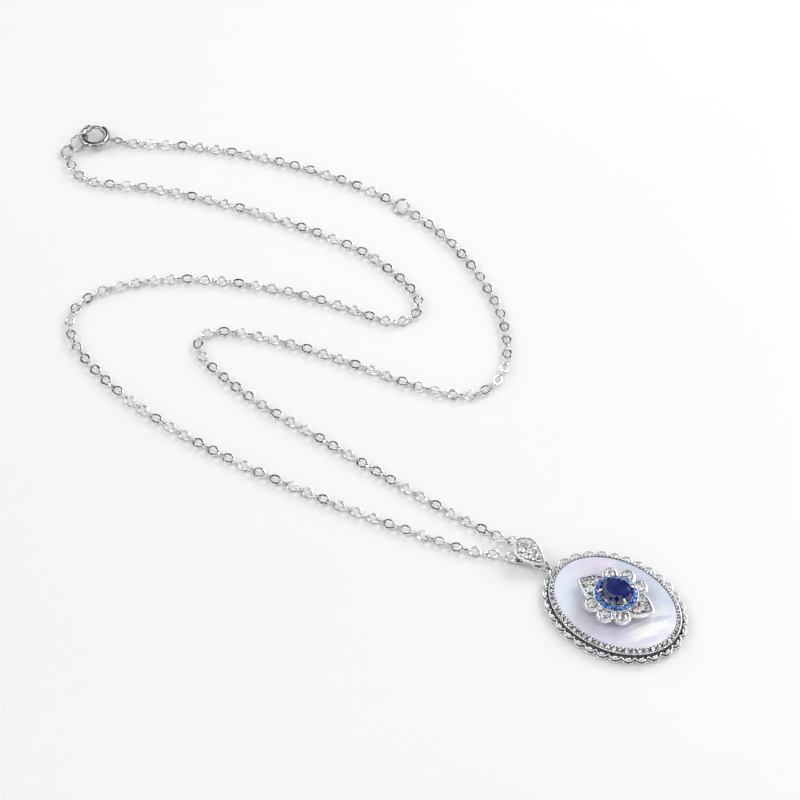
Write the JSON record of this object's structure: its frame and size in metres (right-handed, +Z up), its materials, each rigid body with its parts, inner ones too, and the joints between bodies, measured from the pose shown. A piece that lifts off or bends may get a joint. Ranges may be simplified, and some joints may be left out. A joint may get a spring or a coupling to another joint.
{
  "type": "pendant necklace",
  "caption": "Oval mother-of-pearl pendant with a raised stone-set flower, hung by a jump ring and pavé bail on a silver cable chain with a spring-ring clasp.",
  "frame": {"origin": "Bottom centre of the pendant with its bail, on the surface that the necklace lies on; the chain is left out of that box.", "axes": "+Z up from the surface, +Y along the pendant from its foot to its bail, +X to the wearer's left."},
  "size_m": [0.0615, 0.1405, 0.0063],
  "materials": {
    "rhodium_silver": "polished rhodium-plated silver",
    "spring_steel": "drawn wire",
    "mother_of_pearl": "polished, iridescent",
    "white_stone": "cut and polished",
    "cornflower_stone": "cut and polished",
    "deep_blue_stone": "cut and polished"
  },
  "bodies": {
    "chain": {"chain_short_strand": "rhodium_silver", "chain_right_strand": "rhodium_silver", "chain_left_strand": "rhodium_silver", "chain_bail_bend": "rhodium_silver"},
    "bail": {"bail_loop": "rhodium_silver", "bail_front_plate": "rhodium_silver", "bail_stone_1": "white_stone", "bail_stone_2": "white_stone", "bail_stone_3": "white_stone", "bail_stone_4": "white_stone", "bail_stone_5": "white_stone", "bail_stone_6": "white_stone", "bail_stone_7": "white_stone", "bail_stone_8": "white_stone", "bail_stone_9": "white_stone"},
    "jump_ring": {"jump_ring": "rhodium_silver"},
    "pendant": {"back_tray": "rhodium_silver", "mother_of_pearl_plate": "mother_of_pearl", "bezel_band": "rhodium_silver", "scalloped_border": "rhodium_silver", "flower_post": "rhodium_silver", "flower_plate": "rhodium_silver", "petal_stone_1": "white_stone", "petal_stone_2": "white_stone", "petal_stone_3": "white_stone", "petal_stone_4": "white_stone", "petal_stone_5": "white_stone", "petal_stone_6": "white_stone", "leaf_stone_1": "white_stone", "leaf_stone_2": "white_stone", "leaf_stone_3": "white_stone", "leaf_stone_4": "white_stone", "leaf_stone_5": "white_stone", "leaf_stone_6": "white_stone", "halo_setting": "rhodium_silver", "halo_stone_row": "cornflower_stone", "centre_basket": "rhodium_silver", "centre_stone": "deep_blue_stone", "pendant_top_loop": "rhodium_silver"},
    "adjuster_ring": {"adjuster_ring": "rhodium_silver"},
    "clasp_link": {"clasp_link_ring": "rhodium_silver"},
    "clasp": {"clasp_body": "rhodium_silver", "clasp_spring": "spring_steel", "clasp_eyelet": "rhodium_silver"},
    "clasp_bolt": {"clasp_bolt": "rhodium_silver"},
    "catch_ring": {"catch_ring": "rhodium_silver"},
    "end_ring": {"end_ring": "rhodium_silver"}
  },
  "joints": [
    {"name": "bail_swing", "type": "hinge", "parent": "chain", "child": "bail", "pos_m": [0.0001, 0.01359, 0.0012], "axis": [-0.9936, 0.1132, 0], "range_deg": [0, 40]},
    {"name": "jump_ring_swing", "type": "hinge", "parent": "bail", "child": "jump_ring", "pos_m": [-0.00028, 0.01023, 0.0011], "axis": [-0.9936, 0.1132, 0], "range_deg": [0, 20]},
    {"name": "pendant_swing", "type": "hinge", "parent": "jump_ring", "child": "pendant", "pos_m": [0, 0.00884, 0.0011], "axis": [-1, 0, 0], "range_deg": [0, 40]},
    {"name": "adjuster_ring_roll", "type": "hinge", "parent": "chain", "child": "adjuster_ring", "pos_m": [0.0475, 0.07, 0.00081], "axis": [0, 1, 0], "range_deg": [-30, 25]},
    {"name": "clasp_link_lift", "type": "hinge", "parent": "chain", "child": "clasp_link", "pos_m": [0.03176, 0.11727, 0.00122], "axis": [0.9336, 0.3584, 0], "range_deg": [0, 25]},
    {"name": "clasp_lift", "type": "hinge", "parent": "clasp_link", "child": "clasp", "pos_m": [0.03104, 0.11914, 0.00122], "axis": [0.9336, 0.3584, 0], "range_deg": [0, 35]},
    {"name": "clasp_bolt_slide", "type": "hinge", "parent": "clasp", "child": "clasp_bolt", "pos_m": [0.02985, 0.12225, 0.00122], "axis": [0, 0, 1], "range_deg": [0, 36], "stiffness_Nm_per_rad": 0.000002, "springref_deg": -17.19},
    {"name": "catch_ring_lift", "type": "hinge", "parent": "clasp", "child": "catch_ring", "pos_m": [0.02809, 0.12339, 0.00122], "axis": [0.5446, 0.8387, 0], "range_deg": [0, 20]},
    {"name": "end_ring_turn", "type": "hinge", "parent": "catch_ring", "child": "end_ring", "pos_m": [0.02528, 0.12393, 0.00112], "axis": [0, 0, 1], "range_deg": [-15, 15]}
  ]
}
